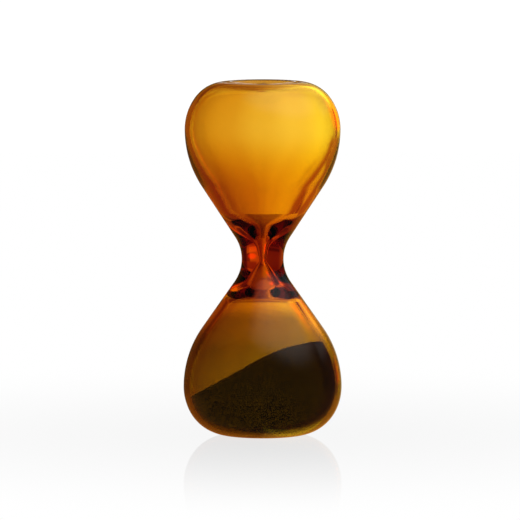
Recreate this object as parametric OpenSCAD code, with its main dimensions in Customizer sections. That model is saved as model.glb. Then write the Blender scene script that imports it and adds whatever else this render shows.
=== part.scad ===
// Frameless blown-glass sand timer: two bulbs fused to a thick neck, with a
// sealed charge of sand inside. Millimetres, +Z up, standing on its foot ring.
// The origin is the centre of the foot ring, on the table. -Y is the front.

/* [Size] */
// Height of the whole timer, from the foot ring to the upper ring
total_h = 115; // [105:1:130]
// Height of the waist above the foot ring
waist_h = 57.4; // [52:0.2:62]
// Outside diameter of the lower bulb at its widest
lower_od = 51.4; // [48:0.2:56]
// Outside diameter of the upper bulb at its widest
upper_od = 50.6; // [48:0.2:56]
// Outside diameter of the glass at the waist
waist_od = 13.6; // [12:0.2:15]

/* [Bulb curves] */
// Height of the lower bulb's widest section above the foot ring
lower_belly = 15.8; // [13:0.2:18]
// Distance of the upper bulb's widest section below the upper ring
upper_belly = 15.4; // [13:0.2:18]
// Radius of the outside curve at the waist
waist_curve = 13; // [10:0.5:15]
// Angle between the lower bulb's straight flank and the axis
lower_flank = 35; // [33:0.5:37]
// Angle between the upper bulb's straight flank and the axis
upper_flank = 33.2; // [32:0.2:36]
// Radius of the shoulder curve next to the widest section
shoulder_curve = 17.5; // [15:0.5:20]
// Angle that the lower bulb's shoulder curve turns through
lower_shoulder = 28; // [20:1:35]
// Angle that the upper bulb's shoulder curve turns through
upper_shoulder = 38; // [30:1:42]

/* [Wall] */
// Wall thickness of the lower bulb
lower_wall = 1.8; // [1.4:0.1:2.2]
// Wall thickness of the upper bulb
upper_wall = 1.5; // [1.2:0.1:2]
// Thickness of the flat ends
end_wall = 1.3; // [1:0.1:1.8]
// Wall thickness where the lower bulb meets the neck
lower_join_wall = 2.6; // [2:0.1:3.2]
// Wall thickness where the upper bulb meets the neck
upper_join_wall = 3.1; // [2.4:0.1:3.6]

/* [Ends] */
// Width of the flat ring that the timer stands on
ring_w = 1.2; // [0.8:0.1:2]
// Depth of the shallow dish inside each ring
dish = 0.9; // [0.6:0.1:1.2]
// Radius of the glass seal in the middle of the upper end
seal_r = 2.2; // [1.6:0.1:3]
// Height of the seal's rounded tip above the dish
seal_tip = 0.45; // [0.2:0.05:0.5]

/* [Neck] */
// Diameter of the hole that times the sand
orifice_d = 1.5; // [1:0.1:2.4]
// Length of the parallel part of that hole
orifice_l = 1.2; // [0.6:0.2:2]
// Distance from the waist up to the seam with the upper bulb
up_seam = 16.4; // [15.6:0.2:17.2]
// Distance from the waist down to the seam with the lower bulb
low_seam = 14.6; // [14:0.2:15.6]
// Angle between the narrow channel above the waist and the axis
upper_channel = 8; // [6:1:10]
// Radius of the flare between that channel and the bowl above it
upper_flare = 8; // [6:0.5:10]
// Steepest angle between the upper bowl and the axis
upper_cone = 49; // [47:1:51]
// Radius of the upper bowl's curve
upper_bowl = 24; // [20:1:30]
// Angle between the rim of the upper bowl and the axis
upper_rim = 37; // [36.5:0.5:40]
// Angle between the narrow channel below the waist and the axis
lower_channel = 22; // [19:1:25]
// Radius of the flare between that channel and the bowl below it
lower_flare = 6; // [4:0.5:8]
// Steepest angle between the lower bowl and the axis
lower_cone = 56; // [53:1:57]
// Radius of the lower bowl's curve
lower_bowl = 10; // [8:0.5:12]
// Angle between the rim of the lower bowl and the axis
lower_rim = 38; // [37.5:0.5:41]

/* [Sand] */
// Height of the top of the heap above the foot ring
heap_h = 31.9; // [26:0.1:33]
// Distance of the heap's crown to the right of the axis
heap_x = 19.9; // [0:0.1:20]
// Distance of the heap's crown in front of the axis
heap_y = 15.8; // [0:0.1:16]
// Slope of the heap's flanks, the sand's angle of repose
repose = 30; // [25:1:34]
// Radius of the heap's rounded crown
crown_curve = 44.5; // [20:0.5:60]
// Clearance between the sand and the glass
sand_gap = 0.25; // [0.2:0.05:0.4]

/* [Hidden] */
waist_r = waist_od / 2;
// distances from the waist to the widest sections and to the two ends
low_b = waist_h - lower_belly;
low_e = waist_h;
up_b = total_h - waist_h - upper_belly;
up_e = total_h - waist_h;
// degrees of curve per facet along an outline
step_deg = 6;
// radius of the fillet between the rim of a bowl and the bulb's flank
rim_fillet = 1.5;
// facets round a part: more than 12 makes a true turned surface
round_n = 96;
amber = [0.72, 0.38, 0.05, 0.55];
deep_amber = [0.45, 0.12, 0.03, 0.8];
sand_black = [0.09, 0.08, 0.07];

// An outline is a list of [radius, distance from the waist, direction], where
// the direction is the angle between the outline and the axis.

function end_of(v) = v[len(v) - 1];

// points on an arc that leaves point p and turns from its direction to a1
function arc(p, r, a1) =
  let (
    a0 = p[2],
    s = sign(a1 - a0),
    n = max(1, ceil(abs(a1 - a0) / step_deg))
  )
  [
    for (i = [1:n])
      let (a = a0 + (a1 - a0) * i / n)
      [p[0] + s * r * (cos(a0) - cos(a)), p[1] + s * r * (sin(a) - sin(a0)), a]
  ];

// points on a straight run of length l, in n equal parts
function run(p, l, n) =
  [
    for (i = [1:n])
      [p[0] + l * i / n * sin(p[2]), p[1] + l * i / n * cos(p[2]), p[2]]
  ];

// Outside of one bulb from the waist to its ring. od: widest diameter,
// b: distance to the widest section, e: distance to the ring, a: flank angle,
// h: angle of the shoulder curve.
// The flank's length and the belly's radius follow from od and b.
function belly_r(od, b, a) =
  let (
    r0 = waist_r + waist_curve * (1 - cos(a)),
    z0 = waist_curve * sin(a)
  )
  ((od / 2 - r0) - (b - z0) * tan(a)) / (1 - 1 / cos(a));

function flank_l(od, b, a) =
  (b - waist_curve * sin(a) - belly_r(od, b, a) * sin(a)) / cos(a);

function heel_r(b, e, h) =
  (e - b - shoulder_curve * sin(h)) / (1 - sin(h));

function outside(od, b, e, a, h) =
  let (
    p0 = [waist_r, 0, 0],
    s1 = arc(p0, waist_curve, a),
    s2 = run(end_of(s1), flank_l(od, b, a), 8),
    s3 = arc(end_of(s2), belly_r(od, b, a), 0),
    s4 = arc(end_of(s3), shoulder_curve, -h),
    s5 = arc(end_of(s4), heel_r(b, e, h), -90)
  )
  concat([p0], s1, s2, s3, s4, s5);

low_out = outside(lower_od, low_b, low_e, lower_flank, lower_shoulder);
up_out = outside(upper_od, up_b, up_e, upper_flank, upper_shoulder);
low_ring = end_of(low_out)[0];
up_ring = end_of(up_out)[0];

// radius of the straight flank at distance z from the waist
function flank_at(a, z) =
  waist_r + waist_curve * (1 - cos(a)) + (z - waist_curve * sin(a)) * tan(a);

// wall thickness at an outline point: thick by the neck, wall at the belly
// and end_wall at the ring; s is the distance of the seam
function thick(p, b, s, wall, join_wall) =
  let (u = max(0, min(1, (p[1] - s) / (b - s))))
  p[2] >= 0
    ? wall + (join_wall - wall) * (1 + 2 * u) * pow(1 - u, 2)
    : wall + (end_wall - wall) * pow(p[2] / 90, 2);

// point on the inside of the wall, gap further in
function inner(p, b, s, wall, join_wall, gap) =
  let (t = thick(p, b, s, wall, join_wall) + gap)
  [p[0] - t * cos(p[2]), p[1] + t * sin(p[2])];

// the inside of a bulb from its seam to the edge of the flat end
function inside(out, b, s, wall, join_wall, gap) =
  [
    for (p = out)
      let (q = inner(p, b, s, wall, join_wall, gap))
      if (q[1] > s + 0.8)
        q
  ];

// inside radius of a bulb at its seam with the neck
function seam_r(a, s, join_wall) = flank_at(a, s) - join_wall / cos(a);

// The bore of the neck from the waist to the seam at distance s and radius rs:
// the orifice, a channel at angle f, a flare of radius w out to a cone at angle
// m, a bowl of radius c back to the rim angle g, and a fillet to the flank
// angle a. The lengths of the channel and the cone follow, from the radius and
// the distance left over.
function left_r(a, rs, f, w, m, c, g) =
  rs - orifice_d / 2 - w * (cos(f) - cos(m)) - c * (cos(g) - cos(m))
    - rim_fillet * (cos(a) - cos(g));

function left_z(a, s, f, w, m, c, g) =
  s - orifice_l / 2 - w * (sin(m) - sin(f)) - c * (sin(m) - sin(g))
    - rim_fillet * (sin(g) - sin(a));

function bore(a, s, rs, f, w, m, c, g) =
  let (
    dr = left_r(a, rs, f, w, m, c, g),
    dz = left_z(a, s, f, w, m, c, g),
    channel = (dz * sin(m) - dr * cos(m)) / sin(m - f),
    cone = (dr * cos(f) - dz * sin(f)) / sin(m - f),
    p0 = [orifice_d / 2, orifice_l / 2, f],
    s1 = run(p0, channel, 1),
    s2 = arc(end_of(s1), w, m),
    s3 = run(end_of(s2), cone, 1),
    s4 = arc(end_of(s3), c, g),
    s5 = arc(end_of(s4), rim_fillet, a)
  )
  concat([p0], s1, s2, s3, s4, s5);

low_seam_r = seam_r(lower_flank, low_seam, lower_join_wall);
up_seam_r = seam_r(upper_flank, up_seam, upper_join_wall);
low_bore = bore(lower_flank, low_seam, low_seam_r, lower_channel, lower_flare,
  lower_cone, lower_bowl, lower_rim);
up_bore = bore(upper_flank, up_seam, up_seam_r, upper_channel, upper_flare,
  upper_cone, upper_bowl, upper_rim);

// the part of an outline beyond distance s, or between the waist and s
function beyond(v, s) = [for (p = v) if (p[1] > s + 0.01) [p[0], p[1]]];
function within(v, s) = [for (p = v) if (p[1] < s - 0.01) [p[0], p[1]]];

// a dish of depth d inside radius r, as points from its rim to radius r1
dish_n = 6;
function dish_at(r, d, x) =
  let (c = (r * r + d * d) / (2 * d))
  d - (c - sqrt(c * c - x * x));
function dish_pts(r, d, e, r1) =
  [
    for (i = [0:dish_n])
      let (x = r + (r1 - r) * i / dish_n)
      [x, e - dish_at(r, d, x)]
  ];

// lists from the waist frame to the part's frame
function flip(v) = [for (i = [len(v) - 1:-1:0]) v[i]];
function down(v) = [for (p = v) [p[0], waist_h - p[1]]];
function up(v) = [for (p = v) [p[0], waist_h + p[1]]];

module turned(pts) {
  rotate_extrude($fn = round_n)
    polygon(pts);
}

// section of one bulb in the waist frame; hole is the radius left open in the
// middle of its end
function bulb_section(out, a, b, e, s, wall, join_wall, ring, hole) =
  concat(
    [[flank_at(a, s), s]],
    beyond(out, s),
    dish_pts(ring - ring_w, dish, e, hole),
    flip(dish_pts(ring - ring_w, dish, e - end_wall, hole)),
    flip(inside(out, b, s, wall, join_wall, 0)),
    [[seam_r(a, s, join_wall), s]]
  );

module lower_bulb() {
  color(amber)
    turned(down(bulb_section(low_out, lower_flank, low_b, low_e, low_seam,
      lower_wall, lower_join_wall, low_ring, 0)));
}

module upper_bulb() {
  color(amber)
    turned(up(bulb_section(up_out, upper_flank, up_b, up_e, up_seam,
      upper_wall, upper_join_wall, up_ring, seal_r)));
}

module neck() {
  color(deep_amber)
    turned(concat(
      [[flank_at(upper_flank, up_seam), waist_h + up_seam]],
      up(flip(within(up_out, up_seam))),
      down([for (p = within(low_out, low_seam)) if (p[1] > 0.01) p]),
      [[flank_at(lower_flank, low_seam), waist_h - low_seam]],
      [[low_seam_r, waist_h - low_seam]],
      down(flip(within(low_bore, low_seam))),
      up(within(up_bore, up_seam)),
      [[up_seam_r, waist_h + up_seam]]
    ));
}

// the glass drop that closes the filling hole, rounded on the outside
module filling_seal() {
  r = up_ring - ring_w;
  z1 = total_h - dish_at(r, dish, seal_r);
  z0 = z1 - end_wall;
  tip_c = (seal_r * seal_r + seal_tip * seal_tip) / (2 * seal_tip);
  tip_n = 5;
  tip = [
    for (i = [0:tip_n])
      let (x = seal_r * (1 - i / tip_n))
      [x, z1 + seal_tip - tip_c + sqrt(tip_c * tip_c - x * x)]
  ];
  color(amber)
    turned(concat([[0, z0 - 0.3], [seal_r * 0.6, z0 - 0.2], [seal_r, z0]], tip));
}

// the space that sand can fill in the lower bulb, up to height top
module sand_room(top) {
  side = [
    for (p = down(inside(low_out, low_b, low_seam, lower_wall, lower_join_wall, sand_gap)))
      if (p[1] < top)
        p
  ];
  floor_pts = down(dish_pts(low_ring - ring_w, dish,
    low_e - end_wall - sand_gap, 0));
  turned(concat([[0, side[0][1]]], side, floor_pts));
}

module sand() {
  crown_w = crown_curve * sin(repose);
  crown_d = crown_curve * (1 - cos(repose));
  reach = 60;
  crown = [
    for (i = [0:7])
      let (a = repose * i / 7)
      [crown_curve * sin(a), heap_h - crown_curve * (1 - cos(a))]
  ];
  foot_z = heap_h - crown_d - (reach - crown_w) * tan(repose);
  color(sand_black)
    intersection() {
      sand_room(heap_h + 6);
      translate([heap_x, -heap_y, 0])
        turned(concat(crown, [[reach, foot_z], [reach, -40], [0, -40]]));
    }
}

lower_bulb();
neck();
upper_bulb();
filling_seal();
sand();
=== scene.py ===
import math
import random

import bpy
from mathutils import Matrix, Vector


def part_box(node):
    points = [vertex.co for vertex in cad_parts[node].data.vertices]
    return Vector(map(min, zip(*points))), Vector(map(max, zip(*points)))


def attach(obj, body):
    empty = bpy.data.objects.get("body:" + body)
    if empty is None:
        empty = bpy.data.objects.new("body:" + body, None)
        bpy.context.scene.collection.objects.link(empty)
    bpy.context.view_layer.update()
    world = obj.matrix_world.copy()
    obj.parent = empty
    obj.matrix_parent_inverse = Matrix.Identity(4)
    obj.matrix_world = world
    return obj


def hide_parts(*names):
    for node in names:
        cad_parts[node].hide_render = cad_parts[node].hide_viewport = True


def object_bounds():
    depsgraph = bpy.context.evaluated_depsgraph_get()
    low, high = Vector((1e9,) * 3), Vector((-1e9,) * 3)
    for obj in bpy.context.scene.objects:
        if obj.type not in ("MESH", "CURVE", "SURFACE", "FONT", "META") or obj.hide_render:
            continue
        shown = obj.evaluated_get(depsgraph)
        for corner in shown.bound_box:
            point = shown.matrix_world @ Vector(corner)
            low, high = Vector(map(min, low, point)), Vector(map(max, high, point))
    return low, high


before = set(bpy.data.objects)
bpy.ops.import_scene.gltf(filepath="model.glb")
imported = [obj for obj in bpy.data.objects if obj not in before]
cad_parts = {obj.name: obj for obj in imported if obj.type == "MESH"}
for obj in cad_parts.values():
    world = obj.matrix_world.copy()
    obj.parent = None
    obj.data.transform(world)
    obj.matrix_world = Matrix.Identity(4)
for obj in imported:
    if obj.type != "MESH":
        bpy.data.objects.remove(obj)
cad_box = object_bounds()
rng = random.Random(7)
MM = 0.001

# ---------------------------------------------------------------- sizes
# The overall sizes are read off the CAD nodes, in metres.
neck_lo, neck_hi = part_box("neck")
low_lo, low_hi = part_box("lower_bulb")
up_lo, up_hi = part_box("upper_bulb")
seal_lo, seal_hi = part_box("filling_seal")
_, sand_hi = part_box("sand")
WAIST = 57.4 * MM
SEAM_LOW = WAIST - neck_lo[2]
SEAM_UP = neck_hi[2] - WAIST
TOP = up_hi[2]
LOW_R = (low_hi[0] - low_lo[0]) / 2
UP_R = (up_hi[0] - up_lo[0]) / 2
SEAL_R = (seal_hi[0] - seal_lo[0]) / 2

# The curves of the glass have the same sizes as in the CAD.
WAIST_R = 6.8 * MM
WAIST_CURVE = 13 * MM
SHOULDER_CURVE = 17.5 * MM
ORIFICE_R = 0.75 * MM
ORIFICE_HALF = 0.6 * MM
BORE_FILLET = 1.5 * MM
END_WALL = 1.3 * MM
RING_WIDTH = 1.2 * MM
DISH_DEPTH = 0.9 * MM
GLASS_SIDES = 192


# ---------------------------------------------------------------- outlines
def arc(p, r, a1, step=2.0):
    """Points on an arc that leaves p = (radius, distance, direction) and turns to direction a1."""
    a0 = p[2]
    side = 1 if a1 > a0 else -1
    n = max(2, math.ceil(abs(a1 - a0) / step))
    cos0, sin0 = math.cos(math.radians(a0)), math.sin(math.radians(a0))
    out = []
    for i in range(1, n + 1):
        a = a0 + (a1 - a0) * i / n
        cos1, sin1 = math.cos(math.radians(a)), math.sin(math.radians(a))
        out.append((p[0] + side * r * (cos0 - cos1), p[1] + side * r * (sin1 - sin0), a))
    return out


def run(p, length, n):
    """Points on a straight line that leaves p = (radius, distance, direction)."""
    s, c = math.sin(math.radians(p[2])), math.cos(math.radians(p[2]))
    return [(p[0] + length * i / n * s, p[1] + length * i / n * c, p[2]) for i in range(1, n + 1)]


class Bulb:
    """One half of the glass. Its outlines are lists of (radius, distance from the waist,
    direction), with the direction in degrees from straight away from the waist."""

    def __init__(self, radius, end, belly, flank, shoulder, wall, join, seam, bore):
        self.end, self.wall, self.join, self.seam = end, wall, join, seam
        self.belly = end - belly
        lean = math.radians(flank)
        r0, z0 = WAIST_R + WAIST_CURVE * (1 - math.cos(lean)), WAIST_CURVE * math.sin(lean)
        rest = self.belly - z0
        belly_r = (radius - r0 - rest * math.tan(lean)) / (1 - 1 / math.cos(lean))
        flank_l = (rest - belly_r * math.sin(lean)) / math.cos(lean)
        turn = math.radians(shoulder)
        heel_r = (belly - SHOULDER_CURVE * math.sin(turn)) / (1 - math.sin(turn))
        pts = [(WAIST_R, 0.0, 0.0)]
        pts += arc(pts[-1], WAIST_CURVE, flank)
        pts += run(pts[-1], flank_l, 14)
        pts += arc(pts[-1], belly_r, 0)
        pts += arc(pts[-1], SHOULDER_CURVE, -shoulder)
        pts += arc(pts[-1], heel_r, -90, 3.0)
        self.out = pts
        self.ring = pts[-1][0]
        rim_r = r0 + (seam - z0) * math.tan(lean) - join / math.cos(lean)
        self.bore = self.funnel(rim_r, flank, **bore)

    def funnel(self, rim_r, flank, channel, flare, cone, bowl, rim):
        """The bore from the orifice to the seam: a channel at one angle, a flare of one radius out
        to a cone, a bowl of one radius back to the rim angle and a small fillet to the flank."""
        a0, a1, a2, a3 = (math.radians(a) for a in (channel, cone, rim, flank))
        dr = rim_r - ORIFICE_R - flare * (math.cos(a0) - math.cos(a1))
        dr -= bowl * (math.cos(a2) - math.cos(a1)) + BORE_FILLET * (math.cos(a3) - math.cos(a2))
        dz = self.seam - ORIFICE_HALF - flare * (math.sin(a1) - math.sin(a0))
        dz -= bowl * (math.sin(a1) - math.sin(a2)) + BORE_FILLET * (math.sin(a2) - math.sin(a3))
        channel_l = (dz * math.sin(a1) - dr * math.cos(a1)) / math.sin(a1 - a0)
        cone_l = (dr * math.cos(a0) - dz * math.sin(a0)) / math.sin(a1 - a0)
        pts = [(ORIFICE_R, ORIFICE_HALF, channel)]
        pts += run(pts[-1], channel_l, 6)
        pts += arc(pts[-1], flare, cone, 3.0)
        pts += run(pts[-1], cone_l, 6)
        pts += arc(pts[-1], bowl, rim, 1.0)
        pts += arc(pts[-1], BORE_FILLET, flank, 1.5)
        return pts

    def thick(self, p):
        """The wall, which thins from the seam to the belly and again towards the end."""
        if p[2] < 0:
            return self.wall + (END_WALL - self.wall) * (p[2] / 90) ** 2
        u = max(0.0, min(1.0, (p[1] - self.seam) / (self.belly - self.seam)))
        return self.wall + (self.join - self.wall) * (1 + 2 * u) * (1 - u) ** 2

    def inside(self, gap=0.0):
        """The inner face beyond the seam, or a line at a gap inside it."""
        beyond = self.seam + 0.4 * MM
        out = []
        for p in self.out:
            t = self.thick(p) + gap
            a = math.radians(p[2])
            q = (p[0] - t * math.cos(a), p[1] + t * math.sin(a), p[2])
            if q[1] > beyond:
                out.append(q)
        return out

    def dish(self, sink=0.0, r1=0.0, n=18):
        """The shallow dish inside the ring, from the ring to radius r1, sunk below the end."""
        r, d = self.ring - RING_WIDTH, DISH_DEPTH
        c = (r * r + d * d) / (2 * d)
        out = []
        for i in range(n + 1):
            x = r + (r1 - r) * i / n
            out.append((x, self.end - sink - (d - (c - math.sqrt(c * c - x * x)))))
        return out


lower = Bulb(
    radius=LOW_R,
    end=WAIST,
    belly=15.8 * MM,
    flank=35,
    shoulder=28,
    wall=1.8 * MM,
    join=2.6 * MM,
    seam=SEAM_LOW,
    bore={"channel": 22, "flare": 6 * MM, "cone": 56, "bowl": 10 * MM, "rim": 38},
)
upper = Bulb(
    radius=UP_R,
    end=TOP - WAIST,
    belly=15.4 * MM,
    flank=33.2,
    shoulder=38,
    wall=1.5 * MM,
    join=3.1 * MM,
    seam=SEAM_UP,
    bore={"channel": 8, "flare": 8 * MM, "cone": 49, "bowl": 24 * MM, "rim": 37},
)


def below(outline):
    """An outline of the lower bulb as (radius, z)."""
    return [(p[0], WAIST - p[1]) for p in outline]


def above(outline):
    """An outline of the upper bulb as (radius, z)."""
    return [(p[0], WAIST + p[1]) for p in outline]


# ---------------------------------------------------------------- mesh helpers
def to_object(name, verts, faces, smooth=True):
    mesh = bpy.data.meshes.new(name)
    mesh.from_pydata(verts, [], faces)
    mesh.validate()
    if smooth:
        mesh.polygons.foreach_set("use_smooth", [True] * len(mesh.polygons))
    mesh.update()
    obj = bpy.data.objects.new(name, mesh)
    bpy.context.scene.collection.objects.link(obj)
    return obj


def lathe(outline, seg, verts, faces, flip=False):
    """Turns an outline of (radius, z) about the axis. Ends on the axis become poles. Faces look
    away from the axis for an outline that runs upwards, or towards it with flip."""
    rows = []
    for r, z in outline:
        if r < 1e-9:
            rows.append([len(verts)])
            verts.append((0.0, 0.0, z))
        else:
            rows.append(list(range(len(verts), len(verts) + seg)))
            for k in range(seg):
                a = 2 * math.pi * k / seg
                verts.append((r * math.cos(a), r * math.sin(a), z))
    for lo, hi in zip(rows, rows[1:]):
        for k in range(seg):
            n = (k + 1) % seg
            if len(lo) == 1:
                f = (lo[0], hi[n], hi[k])
            elif len(hi) == 1:
                f = (lo[k], lo[n], hi[0])
            else:
                f = (lo[k], lo[n], hi[n], hi[k])
            faces.append(tuple(reversed(f)) if flip else f)


def between(p, q, t):
    return tuple(a + (b - a) * t for a, b in zip(p, q))


def as_far_as(path, test):
    """The start of a path, cut where the test stops holding."""
    n = next((i for i, p in enumerate(path) if not test(p)), len(path) - 1)
    p, q = path[n - 1], path[n]
    lo, hi = 0.0, 1.0
    for _ in range(24):
        mid = (lo + hi) / 2
        if test(between(p, q, mid)):
            lo = mid
        else:
            hi = mid
    return path[:n] + [between(p, q, lo)]


def spread(path, count):
    """The same path as count + 1 points at equal distances."""
    lengths = [0.0]
    for p, q in zip(path, path[1:]):
        lengths.append(lengths[-1] + math.dist(p, q))
    out = []
    j = 0
    for i in range(count + 1):
        s = lengths[-1] * i / count
        while j < len(lengths) - 2 and lengths[j + 1] < s:
            j += 1
        t = (s - lengths[j]) / max(1e-12, lengths[j + 1] - lengths[j])
        out.append(between(path[j], path[j + 1], t))
    return out


def round_strip(base, seg, n):
    """Faces between seg neighbouring columns of n points that stand round the axis."""
    faces = []
    for k in range(seg):
        a, b = base + k * n, base + (k + 1) % seg * n
        faces += [(a + i, b + i, b + i + 1, a + i + 1) for i in range(n - 1)]
    return faces


# ---------------------------------------------------------------- node helpers
def feed(nt, value, socket):
    """Sets a socket to a constant, or links it to another socket."""
    if isinstance(value, (int, float, tuple)):
        socket.default_value = value
    else:
        nt.links.new(value, socket)


class Maths:
    """Short names for the math nodes of one node tree."""

    # the azimuth in degrees that lies half-way from the middle of a sweep to its end
    HALF = 12.0

    def __init__(self, nt):
        self.nt = nt

    def node(self, op, *args):
        n = self.nt.nodes.new("ShaderNodeMath")
        n.operation = op
        for i, a in enumerate(args):
            feed(self.nt, a, n.inputs[i])
        return n.outputs[0]

    def vector(self, op, a, b=None):
        n = self.nt.nodes.new("ShaderNodeVectorMath")
        n.operation = op
        feed(self.nt, a, n.inputs[0])
        if b is not None:
            feed(self.nt, b, n.inputs["Scale"] if op == "SCALE" else n.inputs[1])
        return n.outputs["Value" if op in ("DOT_PRODUCT", "LENGTH") else "Vector"]

    def parts(self, v):
        """The x, y and z of a vector."""
        n = self.nt.nodes.new("ShaderNodeSeparateXYZ")
        self.nt.links.new(v, n.inputs[0])
        return tuple(n.outputs)

    def fade(self, v, a, b, lo=0.0, hi=1.0):
        """lo below a, hi above b, and a smooth step between."""
        n = self.nt.nodes.new("ShaderNodeMapRange")
        n.interpolation_type = "SMOOTHSTEP"
        self.nt.links.new(v, n.inputs["Value"])
        n.inputs["From Min"].default_value = a
        n.inputs["From Max"].default_value = b
        n.inputs["To Min"].default_value = lo
        n.inputs["To Max"].default_value = hi
        return n.outputs["Result"]

    def sweep(self, az, points):
        """A colour for every azimuth in degrees, from a list of (azimuth, colour). The directions
        near straight behind take up most of the ramp."""
        top = max(max(c) for _, c in points)
        u = self.node("DIVIDE", az, self.node("ADD", self.node("ABSOLUTE", az), self.HALF))
        u = self.node("MULTIPLY_ADD", u, 0.5, 0.5)
        n = self.nt.nodes.new("ShaderNodeValToRGB")
        n.color_ramp.interpolation = "EASE"
        stops = n.color_ramp.elements
        while len(stops) < len(points):
            stops.new(0.5)
        for stop, (v, c) in zip(stops, points):
            stop.position = 0.5 + 0.5 * v / (abs(v) + self.HALF)
            stop.color = (c[0] / top, c[1] / top, c[2] / top, 1.0)
        self.nt.links.new(u, n.inputs["Fac"])
        # a ramp holds no value above 1, so the colour comes with what to scale it by
        return n.outputs["Color"], top

    def window(self, az, el, az0, az1, el0, el1, soft):
        """1 inside a window of directions and 0 outside, with soft edges, all in degrees."""
        across = self.node(
            "MULTIPLY",
            self.fade(az, az0 - soft, az0 + soft),
            self.fade(az, az1 - soft, az1 + soft, 1, 0),
        )
        up = self.node(
            "MULTIPLY",
            self.fade(el, el0 - soft, el0 + soft),
            self.fade(el, el1 - soft, el1 + soft, 1, 0),
        )
        return self.node("MULTIPLY", across, up)


def new_material(name):
    mat = bpy.data.materials.new(name)
    mat.use_nodes = True
    nt = mat.node_tree
    nt.nodes.clear()
    out = nt.nodes.new("ShaderNodeOutputMaterial")
    return mat, nt, out


def noise_tex(nt, coord, scale, detail=2.0, rough=0.5, distort=0.0):
    n = nt.nodes.new("ShaderNodeTexNoise")
    n.inputs["Scale"].default_value = scale
    n.inputs["Detail"].default_value = detail
    n.inputs["Roughness"].default_value = rough
    n.inputs["Distortion"].default_value = distort
    nt.links.new(coord, n.inputs["Vector"])
    return n.outputs["Fac"]


def ramp(nt, value, stops):
    n = nt.nodes.new("ShaderNodeValToRGB")
    ends = n.color_ramp.elements
    ends[0].position, ends[0].color = stops[0]
    ends[1].position, ends[1].color = stops[-1]
    for position, colour in stops[1:-1]:
        ends.new(position).color = colour
    nt.links.new(value, n.inputs["Fac"])
    return n.outputs["Color"]


def mix_colour(nt, factor, a, b, blend="MIX"):
    """Colour a where the factor is 0, and its blend with b where the factor is 1."""
    n = nt.nodes.new("ShaderNodeMix")
    n.data_type = "RGBA"
    n.blend_type = blend
    feed(nt, factor, n.inputs["Factor"])
    feed(nt, a, n.inputs["A"])
    feed(nt, b, n.inputs["B"])
    return n.outputs["Result"]


def mix_shader(nt, factor, a, b):
    """Shader a where the factor is 0, b where it is 1."""
    n = nt.nodes.new("ShaderNodeMixShader")
    feed(nt, factor, n.inputs["Fac"])
    nt.links.new(a.outputs[0], n.inputs[1])
    nt.links.new(b.outputs[0], n.inputs[2])
    return n


def bumped(nt, height, strength, distance, bsdf):
    """Gives a shader the relief of a height texture."""
    bump = nt.nodes.new("ShaderNodeBump")
    bump.inputs["Strength"].default_value = strength
    bump.inputs["Distance"].default_value = distance
    nt.links.new(height, bump.inputs["Height"])
    nt.links.new(bump.outputs["Normal"], bsdf.inputs["Normal"])


def grey(v):
    return (v, v, v, 1.0)


# ---------------------------------------------------------------- the glass
# absorption per metre is density * (1 - colour)
GLASS_COLOUR = (0.937, 0.806, 0.20, 1.0)
GLASS_DENSITY = 1600.0
GLASS_IOR = 1.5


def glass_material():
    """Clear amber glass that colours light by the length of its path, with faint flame-worked
    ripples that run round it."""
    mat, nt, out = new_material("amber_glass")
    co = nt.nodes.new("ShaderNodeTexCoord").outputs["Object"]
    bsdf = nt.nodes.new("ShaderNodeBsdfPrincipled")
    bsdf.inputs["Base Color"].default_value = grey(1)
    bsdf.inputs["Metallic"].default_value = 0.0
    bsdf.inputs["Roughness"].default_value = 0.0
    bsdf.inputs["IOR"].default_value = GLASS_IOR
    bsdf.inputs["Transmission Weight"].default_value = 1.0
    stretch = nt.nodes.new("ShaderNodeMapping")
    stretch.inputs["Scale"].default_value = (1.0, 1.0, 2.6)
    nt.links.new(co, stretch.inputs["Vector"])
    ripples = noise_tex(nt, stretch.outputs["Vector"], 55.0, 1.5, 0.4)
    bumped(nt, ripples, 0.12, 0.6 * MM, bsdf)
    nt.links.new(bsdf.outputs["BSDF"], out.inputs["Surface"])
    vol = nt.nodes.new("ShaderNodeVolumeAbsorption")
    vol.inputs["Color"].default_value = GLASS_COLOUR
    vol.inputs["Density"].default_value = GLASS_DENSITY
    nt.links.new(vol.outputs["Volume"], out.inputs["Volume"])
    return mat


def seal_drop(outside):
    """Section of the glass drop in the middle of the upper end, from its edge to the axis."""
    n = 14
    groove_d, groove_w = 0.10 * MM, 0.22 * MM
    edge = upper.dish(r1=SEAL_R)[-1][1]
    tip = seal_hi[2] - WAIST - edge
    c = (SEAL_R**2 + tip * tip) / (2 * tip)
    pts = []
    for i in range(n + 1):
        r = SEAL_R * (1 - i / n)
        if outside:
            z = edge + tip - c + math.sqrt(c * c - r * r)
            # a fine groove where the drop was melted to the plate
            z -= groove_d * math.exp(-(((SEAL_R - r) / groove_w) ** 2))
        else:
            z = edge - END_WALL - 0.3 * MM * (1 - (r / SEAL_R) ** 2)
        pts.append((r, z))
    return pts


def glass_skin(low, up, sink, outside):
    """One skin of the glass as (radius, z), from the middle of the lower end to the upper one."""
    plate = upper.dish(sink, SEAL_R + 0.02 * MM) + seal_drop(outside)
    return below(low + lower.dish(sink))[::-1] + above(up + plate)


def glass_vessel():
    """The closed vessel: an outer skin, and an inner one with the bore."""
    verts, faces = [], []
    outer = glass_skin(lower.out, upper.out[1:], 0.0, True)
    lathe(outer, GLASS_SIDES, verts, faces)
    low, up = lower.bore + lower.inside(), upper.bore + upper.inside()
    inner = glass_skin(low, up, END_WALL, False)
    lathe(inner, GLASS_SIDES, verts, faces, flip=True)
    return to_object("glass_vessel", verts, faces)


vessel = glass_vessel()
vessel.data.materials.append(glass_material())
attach(vessel, "glass")
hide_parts("lower_bulb", "neck", "upper_bulb", "filling_seal")


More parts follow.
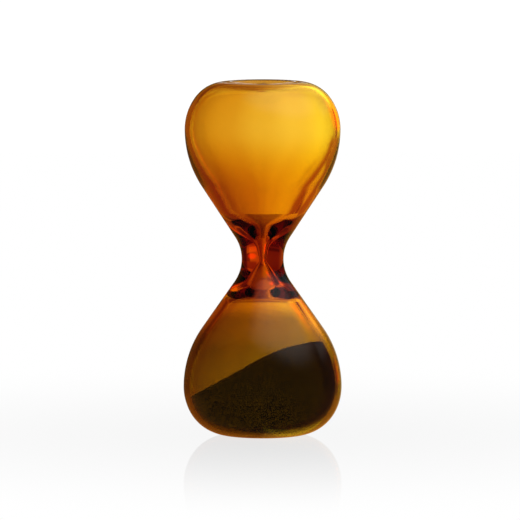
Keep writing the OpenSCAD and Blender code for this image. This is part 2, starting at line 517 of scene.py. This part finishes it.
# ---------------------------------------------------------------- the sand
HEAP = Vector((19.9 * MM, -15.8 * MM, 0.0))
HEAP_TOP = sand_hi[2]
REPOSE = math.radians(30)
CROWN_R = 44.5 * MM
SAND_GAP = 0.16 * MM
GRAIN_SCALE = 3400.0
SAND_TONES = [
    (0.0, (0.004, 0.005, 0.004, 1)),
    (0.55, (0.013, 0.015, 0.011, 1)),
    (0.86, (0.024, 0.026, 0.020, 1)),
    (1.0, (0.045, 0.047, 0.034, 1)),
]


def heap_z(x, y):
    """Height of the sand's surface, a rounded crown on a straight slope."""
    d = math.hypot(x - HEAP.x, y - HEAP.y)
    reach = CROWN_R * math.sin(REPOSE)
    if d < reach:
        return HEAP_TOP - (CROWN_R - math.sqrt(CROWN_R * CROWN_R - d * d))
    return HEAP_TOP - CROWN_R * (1 - math.cos(REPOSE)) - (d - reach) * math.tan(REPOSE)


def sand_material():
    """Fine black grains, each with its own tone and gloss."""
    mat, nt, out = new_material("black_sand")
    co = nt.nodes.new("ShaderNodeTexCoord").outputs["Object"]
    cells = nt.nodes.new("ShaderNodeTexVoronoi")
    cells.inputs["Scale"].default_value = GRAIN_SCALE
    nt.links.new(co, cells.inputs["Vector"])
    split = nt.nodes.new("ShaderNodeSeparateColor")
    nt.links.new(cells.outputs["Color"], split.inputs["Color"])
    tint = ramp(nt, split.outputs["Red"], SAND_TONES)
    drift = noise_tex(nt, co, 160.0, 4.0, 0.6)
    shade = ramp(nt, drift, [(0.3, grey(0.75)), (0.75, grey(1.15))])
    gloss = ramp(nt, split.outputs["Green"], [(0.0, grey(0.38)), (1.0, grey(0.85))])
    bsdf = nt.nodes.new("ShaderNodeBsdfPrincipled")
    nt.links.new(mix_colour(nt, 1.0, tint, shade, "MULTIPLY"), bsdf.inputs["Base Color"])
    nt.links.new(gloss, bsdf.inputs["Roughness"])
    bumped(nt, cells.outputs["Distance"], 0.45, 0.22 * MM, bsdf)
    nt.links.new(bsdf.outputs["BSDF"], out.inputs["Surface"])
    return mat


def sand_heap():
    """The heap as one closed skin: the floor, the side against the glass and the sloping top."""
    seg, sides, tops = 288, 120, 90
    wall = below(lower.inside(SAND_GAP) + lower.dish(END_WALL + SAND_GAP))[::-1]
    verts = [(0.0, 0.0, wall[0][1])]
    for k in range(seg):
        a = 2 * math.pi * k / seg
        path = [(r * math.cos(a), r * math.sin(a), z) for r, z in wall[1:]]
        column = spread(as_far_as(path, lambda p: p[2] < heap_z(p[0], p[1])), sides)
        x, y, _ = column[-1]
        for i in range(1, tops):
            t = 1 - i / tops
            column.append((x * t, y * t, heap_z(x * t, y * t)))
        verts.extend(column)
    n = len(column)
    faces = round_strip(1, seg, n)
    pole = len(verts)
    verts.append((0.0, 0.0, heap_z(0.0, 0.0)))
    for k in range(seg):
        a, b = 1 + k * n, 1 + (k + 1) % seg * n
        faces.append((0, b, a))
        faces.append((a + n - 1, b + n - 1, pole))
    return to_object("sand_heap", verts, faces)


heap = sand_heap()
heap.data.materials.append(sand_material())
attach(heap, "sand_charge")
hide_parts("sand")


# ---------------------------------------------------------------- dust and loose grains
# heights are in mm above the floor
DUST_LOW, DUST_HIGH = 37.5, 41.5
DUST_COAT = 0.38
DUST_HAZE = 0.05
DUST_NECK = 0.12
DUST_DARK = (0.050, 0.040, 0.030, 1.0)
DUST_PALE = (0.11, 0.09, 0.07, 1.0)
HAZE_COLOUR = (0.86, 0.80, 0.76, 1.0)
COAT = 0.50
COAT_DARK = (0.017, 0.019, 0.013, 1.0)
COAT_PALE = (0.027, 0.029, 0.020, 1.0)
COAT_TOP = 42 * MM
VEIL_GAP = 0.07 * MM
VEIL_END = 12 * MM
GRAINS = 420


def patches(nt, m, co, cloud_scale, speck_scale, base, swing, fine):
    """Cloudy patches from 0 to 1, and an uneven cover of about 1 made of them and of specks."""
    clouds = noise_tex(nt, co, cloud_scale, 4.0, 0.6, 0.5)
    specks = noise_tex(nt, co, speck_scale, 1.0, 0.5)
    uneven = m.node("MULTIPLY_ADD", clouds, swing, base)
    return clouds, m.node("MULTIPLY", uneven, m.fade(specks, 0.35, 0.7, *fine))


def dust_material():
    """A thin veil: mostly clear, with a dull coat of dust above the sand, thicker at the left as
    painted shade, and a pale haze in the neck.
    """
    mat, nt, out = new_material("sand_dust")
    co = nt.nodes.new("ShaderNodeTexCoord").outputs["Object"]
    m = Maths(nt)
    z = m.node("DIVIDE", m.parts(co)[2], MM)
    coat = m.node("MULTIPLY", m.fade(z, DUST_LOW, DUST_HIGH, DUST_COAT, 0.0), m.fade(z, 27, 38))
    # painted shade: the dust coat is thinner at the right and thicker at the left, so the lower bulb
    # looks darker at its left and clearer at its right, as if lit from the right
    side = m.parts(m.vector("NORMALIZE", m.vector("MULTIPLY", co, (1.0, 1.0, 0.0))))[0]
    coat = m.node("MULTIPLY", coat, m.fade(side, 0.66, 0.90, 1.0, 0.15))
    haze = m.node("MULTIPLY_ADD", m.fade(z, 46.0, 53.0), DUST_NECK, DUST_HAZE)
    haze = m.node("MULTIPLY", m.fade(z, 41.5, 44.0), haze)
    clouds, uneven = patches(nt, m, co, 90.0, 2600.0, 0.85, 0.30, (0.9, 1.12))
    cover = m.node("MULTIPLY", m.node("ADD", coat, haze), uneven)
    tint = ramp(nt, clouds, [(0.3, DUST_DARK), (0.75, DUST_PALE)])
    colour = mix_colour(nt, m.fade(z, 41.0, 43.0), tint, HAZE_COLOUR)
    dull = nt.nodes.new("ShaderNodeBsdfDiffuse")
    through = nt.nodes.new("ShaderNodeBsdfTranslucent")
    for shader in (dull, through):
        nt.links.new(colour, shader.inputs["Color"])
    clear = nt.nodes.new("ShaderNodeBsdfTransparent")
    mix = mix_shader(nt, cover, clear, mix_shader(nt, 0.5, dull, through))
    nt.links.new(mix.outputs["Shader"], out.inputs["Surface"])
    return mat


def coat_material():
    """Fine sand pressed against the glass: a dark, uneven coat that ends softly at the top."""
    mat, nt, out = new_material("sand_coat")
    co = nt.nodes.new("ShaderNodeTexCoord").outputs["Object"]
    m = Maths(nt)
    z = m.node("DIVIDE", m.parts(co)[2], MM)
    clouds, uneven = patches(nt, m, co, 120.0, 2400.0, 0.88, 0.24, (0.92, 1.1))
    cover = m.node("MULTIPLY", m.fade(z, 27, 39, COAT, 0.0), uneven)
    dull = nt.nodes.new("ShaderNodeBsdfDiffuse")
    tint = ramp(nt, clouds, [(0.3, COAT_DARK), (0.75, COAT_PALE)])
    nt.links.new(tint, dull.inputs["Color"])
    clear = nt.nodes.new("ShaderNodeBsdfTransparent")
    mix = mix_shader(nt, cover, clear, dull)
    nt.links.new(mix.outputs["Shader"], out.inputs["Surface"])
    return mat


def sand_coat():
    """The coat, a thin skin that lies in the inner face of the lower bulb's wall."""
    depth = 0.08 * MM
    path = below(p for p in lower.inside(-depth) if WAIST - p[1] < COAT_TOP)
    path += below(lower.dish(END_WALL - depth))
    verts, faces = [], []
    lathe(path, GLASS_SIDES, verts, faces)
    return to_object("sand_coat", verts, faces)


def dust_veil():
    """The veil on the inside of the lower bulb, from the funnel down to the top of the sand."""
    sides = 150
    rise = 0.1 * MM
    glass = below(lower.bore + lower.inside())
    # moved in from the glass along its normal
    path = []
    for before, p, after in zip(glass, glass[1:], glass[2:] + glass[-1:]):
        dx, dz = after[0] - before[0], after[1] - before[1]
        n = math.hypot(dx, dz)
        path.append((p[0] + VEIL_GAP * dz / n, p[1] - VEIL_GAP * dx / n))
    # the sand covers the glass below where it turns in towards the foot
    foot = next(i for i, (p, q) in enumerate(zip(path, path[1:])) if q[0] < p[0] and q[1] < VEIL_END)
    verts = []
    for k in range(GLASS_SIDES):
        a = 2 * math.pi * k / GLASS_SIDES
        line = [(r * math.cos(a), r * math.sin(a), z) for r, z in path[: foot + 2]]
        verts += spread(as_far_as(line, lambda p: p[2] >= heap_z(p[0], p[1]) + rise), sides)
    return to_object("dust_veil", verts, round_strip(0, GLASS_SIDES, sides + 1))


def loose_grains():
    """Single grains, double pyramids that lie on the slope of the heap."""
    lowest, off_wall = 2.6 * MM, 0.9 * MM
    wall = below(lower.inside())
    points = ((1, 0, 0), (0, 1, 0), (-1, 0, 0), (0, -1, 0), (0, 0, 1), (0, 0, -1))
    verts, faces = [], []
    while len(verts) < GRAINS * len(points):
        a = rng.uniform(0, 2 * math.pi)
        r = 22 * MM * math.sqrt(rng.random())
        x, y = r * math.cos(a), r * math.sin(a)
        z = heap_z(x, y)
        if z < lowest:
            continue
        room = min((q[0] for q in wall if abs(q[1] - z) < 1.5 * MM), default=0.0)
        if r > room - off_wall:
            continue
        size = rng.uniform(0.10, 0.19) * MM
        base = len(verts)
        turn = rng.uniform(0, math.pi)
        for sx, sy, sz in points:
            k = size * rng.uniform(0.75, 1.25)
            px = sx * math.cos(turn) - sy * math.sin(turn)
            py = sx * math.sin(turn) + sy * math.cos(turn)
            verts.append((x + px * k, y + py * k, z + 0.35 * size + sz * k))
        for k in range(4):
            faces.append((base + k, base + (k + 1) % 4, base + 4))
            faces.append((base + (k + 1) % 4, base + k, base + 5))
    return to_object("loose_grains", verts, faces, smooth=False)


coat = sand_coat()
coat.data.materials.append(coat_material())
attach(coat, "glass")
veil = dust_veil()
veil.data.materials.append(dust_material())
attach(veil, "sand_charge")
grains = loose_grains()
grains.data.materials.append(sand_material())
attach(grains, "sand_charge")


# ---------------------------------------------------------------- light
# Directions are an azimuth from straight behind the timer, positive to the right, and an
# elevation, in degrees. A window is (azimuth from, to, elevation from, to, softness).
# This isn't plain studio light. The colours and windows were fitted by comparing renders with
# the photo, and the names of the parts are only labels, because the real room isn't known.
BACKDROP = [
    (-180, (1.2, 1.2, 1.2)),
    (-70, (1.1, 1.1, 1.1)),
    (-36, (0.55, 0.22, 0.08)),
    (-13, (0.62, 0.36, 0.12)),
    (-6, (0.82, 0.62, 0.25)),
    (-1.5, (1.02, 0.82, 0.50)),
    (0, (1.20, 1.15, 1.05)),
    (1.5, (1.42, 1.55, 1.90)),
    (6, (1.70, 2.30, 2.40)),
    (14, (1.90, 2.65, 2.30)),
    (33, (1.85, 2.50, 2.20)),
    (43, (0.60, 0.20, 0.10)),
    (60, (0.55, 0.18, 0.08)),
    (85, (1.2, 1.2, 1.2)),
    (180, (1.2, 1.2, 1.2)),
]
# dimmer parts of the backdrop: the edge of the table, the table, the wall higher up and a band
DIM = 0.26
TABLE_EDGE, TABLE_EDGE_DIM = (-6, 7, -70, -15.5, 2), 0.74
TABLE, TABLE_DIM = (-6, 8, -44, -28, 8), 0.18
TABLE_TINT = (1.0, 0.62, 0.50, 1.0)
WALL, WALL_DIM = (-40, 9, 25, 47, 4), 0.66
BAND, BAND_DIM = (-40, 9, 11.5, 19.5, 2.5), 0.72
WALL_TINT = (1.0, 0.50, 0.55, 1.0)
# red-brown parts at the right, level with the timer and below it
RIGHT, RIGHT_HIGH = (27, 74, -10, 8, 2), (36, 74, -10, 30, 3)
RIGHT_TINT = (0.38, 0.16, 0.40, 1.0)
RIGHT_LOW = (11, 60, -28, -9, 3)
RIGHT_LOW_TINT = (0.50, 0.24, 0.20, 1.0)
# an oval glow, (azimuth, half width) and (elevation, half height), and a lamp
GLOW_AZ, GLOW_EL, GLOW = (22.0, 12.0), (1.0, 7.0), 0.75
GLOW_COLOUR = (1.0, 0.10, 0.05, 1.0)
LAMP_WINDOW, LAMP = (10.5, 28, 10, 25, 2.5), 0.5
LAMP_COLOUR = (1.0, 1.5, 0.4, 1.0)
# the mirrored room: above the horizon, below it, and its lights
ROOM = 0.03
ROOM_SIDES = [
    (-180, (ROOM, ROOM, ROOM)),
    (-80, (ROOM, ROOM, ROOM)),
    (-50, (0.12, 0.045, 0.01)),
    (-8, (0.12, 0.045, 0.01)),
    (0, (0.30, 0.15, 0.05)),
    (5, (0.55, 0.36, 0.14)),
    (13, (0.55, 0.38, 0.16)),
    (26, (0.14, 0.07, 0.02)),
    (60, (ROOM, ROOM, ROOM)),
    (180, (ROOM, ROOM, ROOM)),
]
ROOM_BELOW = [
    (-60, (ROOM, ROOM, ROOM)),
    (-36, (0.34, 0.10, 0.012)),
    (-3, (0.44, 0.13, 0.014)),
    (3, (0.74, 0.28, 0.030)),
    (36, (0.50, 0.19, 0.022)),
    (60, (ROOM, ROOM, ROOM)),
]
LEVEL_PART = (-200, 200, -40, 40, 14)
BELOW_PART = (-200, 200, -64, -10, 5)
SOFTBOX_AIM, SOFTBOX = (0.45, -0.15, 0.88), 0.62
CARD_WINDOW, CARD = (10, 75, 14, 60, 7), 0.6
PATCH_WINDOW, PATCH = (-2.7, 2.7, 5.5, 7.7, 0.3), 0.85
# the strength of the white that the camera sees, and of the light on the sand and the dust
CAMERA_WHITE = 1.05
FILL = 0.6


def backdrop(nt, m, az, el):
    """What shows through the glass: its colour and its strength."""
    colour, scale = m.sweep(az, BACKDROP)
    edge = m.node("MULTIPLY", m.window(az, el, *TABLE_EDGE), TABLE_EDGE_DIM)
    table = m.node("ADD", edge, m.node("MULTIPLY", m.window(az, el, *TABLE), TABLE_DIM))
    wall = m.node("MULTIPLY", m.window(az, el, *WALL), WALL_DIM)
    wall = m.node("MAXIMUM", wall, m.node("MULTIPLY", m.window(az, el, *BAND), BAND_DIM))
    off = m.node("ADD", table, wall)
    strength = m.node("MULTIPLY", m.node("MULTIPLY_ADD", off, DIM - 1.0, 1.0), scale)
    right = m.node("MAXIMUM", m.window(az, el, *RIGHT), m.window(az, el, *RIGHT_HIGH))
    for amount, tint in (
        (table, TABLE_TINT),
        (wall, WALL_TINT),
        (right, RIGHT_TINT),
        (m.window(az, el, *RIGHT_LOW), RIGHT_LOW_TINT),
    ):
        colour = mix_colour(nt, amount, colour, tint, "MULTIPLY")
    # the waist gathers the glow into a red spot, and the lamp gilds the right of the lower bulb
    offsets = []
    for v, (middle, half) in ((az, GLOW_AZ), (el, GLOW_EL)):
        offsets.append(m.node("POWER", m.node("DIVIDE", m.node("SUBTRACT", v, middle), half), 2.0))
    glow = m.fade(m.node("SQRT", m.node("ADD", *offsets)), 0.45, 1.15, GLOW, 0.0)
    colour = mix_colour(nt, glow, colour, GLOW_COLOUR, "ADD")
    lamp = m.node("MULTIPLY", m.window(az, el, *LAMP_WINDOW), LAMP)
    return mix_colour(nt, lamp, colour, LAMP_COLOUR, "ADD"), strength


def mirrored_room(nt, m, az, el, direction):
    """What the glass mirrors: a dark room that is warmer near the backdrop, a softbox overhead
    towards the front right, a card at the right and a bright patch low behind the timer."""
    below_part = m.window(az, el, *BELOW_PART)
    patch = m.window(az, el, *PATCH_WINDOW)
    steep = m.node("SUBTRACT", 1, m.window(az, el, *LEVEL_PART))
    card = m.node("MULTIPLY", m.window(az, el, *CARD_WINDOW), CARD)
    lit = m.node("MAXIMUM", card, m.fade(m.vector("DOT_PRODUCT", direction, SOFTBOX_AIM), 0.60, 0.96))
    white = m.node("MULTIPLY_ADD", lit, SOFTBOX, ROOM)
    white = m.node("MAXIMUM", white, m.node("MULTIPLY", patch, PATCH))
    sides = m.vector("SCALE", *m.sweep(az, ROOM_SIDES))
    under = m.vector("SCALE", *m.sweep(az, ROOM_BELOW))
    room = mix_colour(nt, below_part, sides, under)
    plain = m.node("MAXIMUM", patch, m.node("SUBTRACT", steep, below_part))
    return mix_colour(nt, m.node("MAXIMUM", plain, lit), room, m.vector("SCALE", (1, 1, 1), white))


def studio_world():
    """A white studio. The camera sees it white, rays that come out of the glass see the backdrop
    and reflections see the room."""
    world = bpy.data.worlds.new("studio")
    bpy.context.scene.world = world
    world.use_nodes = True
    nt = world.node_tree
    nt.nodes.clear()
    m = Maths(nt)
    out = nt.nodes.new("ShaderNodeOutputWorld")
    bg = nt.nodes.new("ShaderNodeBackground")
    direction = nt.nodes.new("ShaderNodeTexCoord").outputs["Generated"]
    x, y, z = m.parts(direction)
    az = m.node("MULTIPLY", m.node("ARCTAN2", x, y), 180 / math.pi)
    el = m.node("MULTIPLY", m.node("ARCSINE", z), 180 / math.pi)
    through, strength = backdrop(nt, m, az, el)
    rays = nt.nodes.new("ShaderNodeLightPath").outputs
    colour, light = grey(1), FILL
    for ray, seen, level in (
        ("Is Glossy Ray", mirrored_room(nt, m, az, el, direction), 1.0),
        ("Is Transmission Ray", through, strength),
        ("Is Camera Ray", grey(1), CAMERA_WHITE),
    ):
        colour = mix_colour(nt, rays[ray], colour, seen)
        other = m.node("MULTIPLY", m.node("SUBTRACT", 1, rays[ray]), light)
        light = m.node("ADD", m.node("MULTIPLY", rays[ray], level), other)
    nt.links.new(colour, bg.inputs["Color"])
    nt.links.new(light, bg.inputs["Strength"])
    nt.links.new(bg.outputs["Background"], out.inputs["Surface"])


studio_world()


# ---------------------------------------------------------------- floor
FLOOR_RINGS = (0.0, 0.05, 0.3, 1.2)
FLOOR_DROP = 0.1 * MM
# how strongly it mirrors at the timer, which fades out with the distance and at a steeper view
MIRROR, MIRROR_REACH = 0.245, 0.23


def floor_disc():
    """A pale, slightly glossy floor. It mirrors the timer faintly at a low view."""
    verts, faces = [], []
    lathe([(r, 0.0) for r in FLOOR_RINGS], 96, verts, faces, flip=True)
    obj = to_object("floor", verts, faces)
    obj.location.z = cad_box[0][2] - FLOOR_DROP
    mat, nt, out = new_material("floor_white")
    m = Maths(nt)
    far = m.vector("LENGTH", nt.nodes.new("ShaderNodeTexCoord").outputs["Object"])
    white = nt.nodes.new("ShaderNodeEmission")
    white.inputs["Color"].default_value = grey(1)
    white.inputs["Strength"].default_value = 1.0
    gloss = nt.nodes.new("ShaderNodeBsdfGlossy")
    gloss.inputs["Roughness"].default_value = 0.03
    weight = nt.nodes.new("ShaderNodeLayerWeight")
    weight.inputs["Blend"].default_value = 0.5
    low_view = m.fade(weight.outputs["Facing"], 0.72, 0.9)
    near = m.fade(far, -0.01, MIRROR_REACH, MIRROR, 0.0)
    mix = mix_shader(nt, m.node("MULTIPLY", low_view, near), white, gloss)
    nt.links.new(mix.outputs["Shader"], out.inputs["Surface"])
    obj.data.materials.append(mat)
    obj.visible_transmission = False
    obj.visible_glossy = False
    obj.visible_diffuse = False


floor_disc()


# ---------------------------------------------------------------- camera
CAMERA_DISTANCE = 2.6
CAMERA_ELEVATION = math.radians(5.2)
CAMERA_AIM = Vector((-0.85 * MM, 0.0, 57.0 * MM))
VIEW_WIDTH = 168.94 * MM
SENSOR = 36.0


def main_camera():
    cam = bpy.data.cameras.new("camera")
    obj = bpy.data.objects.new("camera", cam)
    bpy.context.scene.collection.objects.link(obj)
    bpy.context.scene.camera = obj
    back, up = math.cos(CAMERA_ELEVATION), math.sin(CAMERA_ELEVATION)
    obj.location = CAMERA_AIM + CAMERA_DISTANCE * Vector((0.0, -back, up))
    obj.rotation_euler = (math.pi / 2 - CAMERA_ELEVATION, 0.0, 0.0)
    cam.sensor_width = SENSOR
    cam.lens = SENSOR * CAMERA_DISTANCE / VIEW_WIDTH
    cam.clip_start = 0.05
    cam.clip_end = 50.0


main_camera()
scene = bpy.context.scene
scene.view_settings.view_transform = "Standard"
scene.cycles.max_bounces = 24
scene.cycles.transmission_bounces = 24
scene.cycles.glossy_bounces = 10
scene.cycles.diffuse_bounces = 4
scene.cycles.transparent_max_bounces = 24
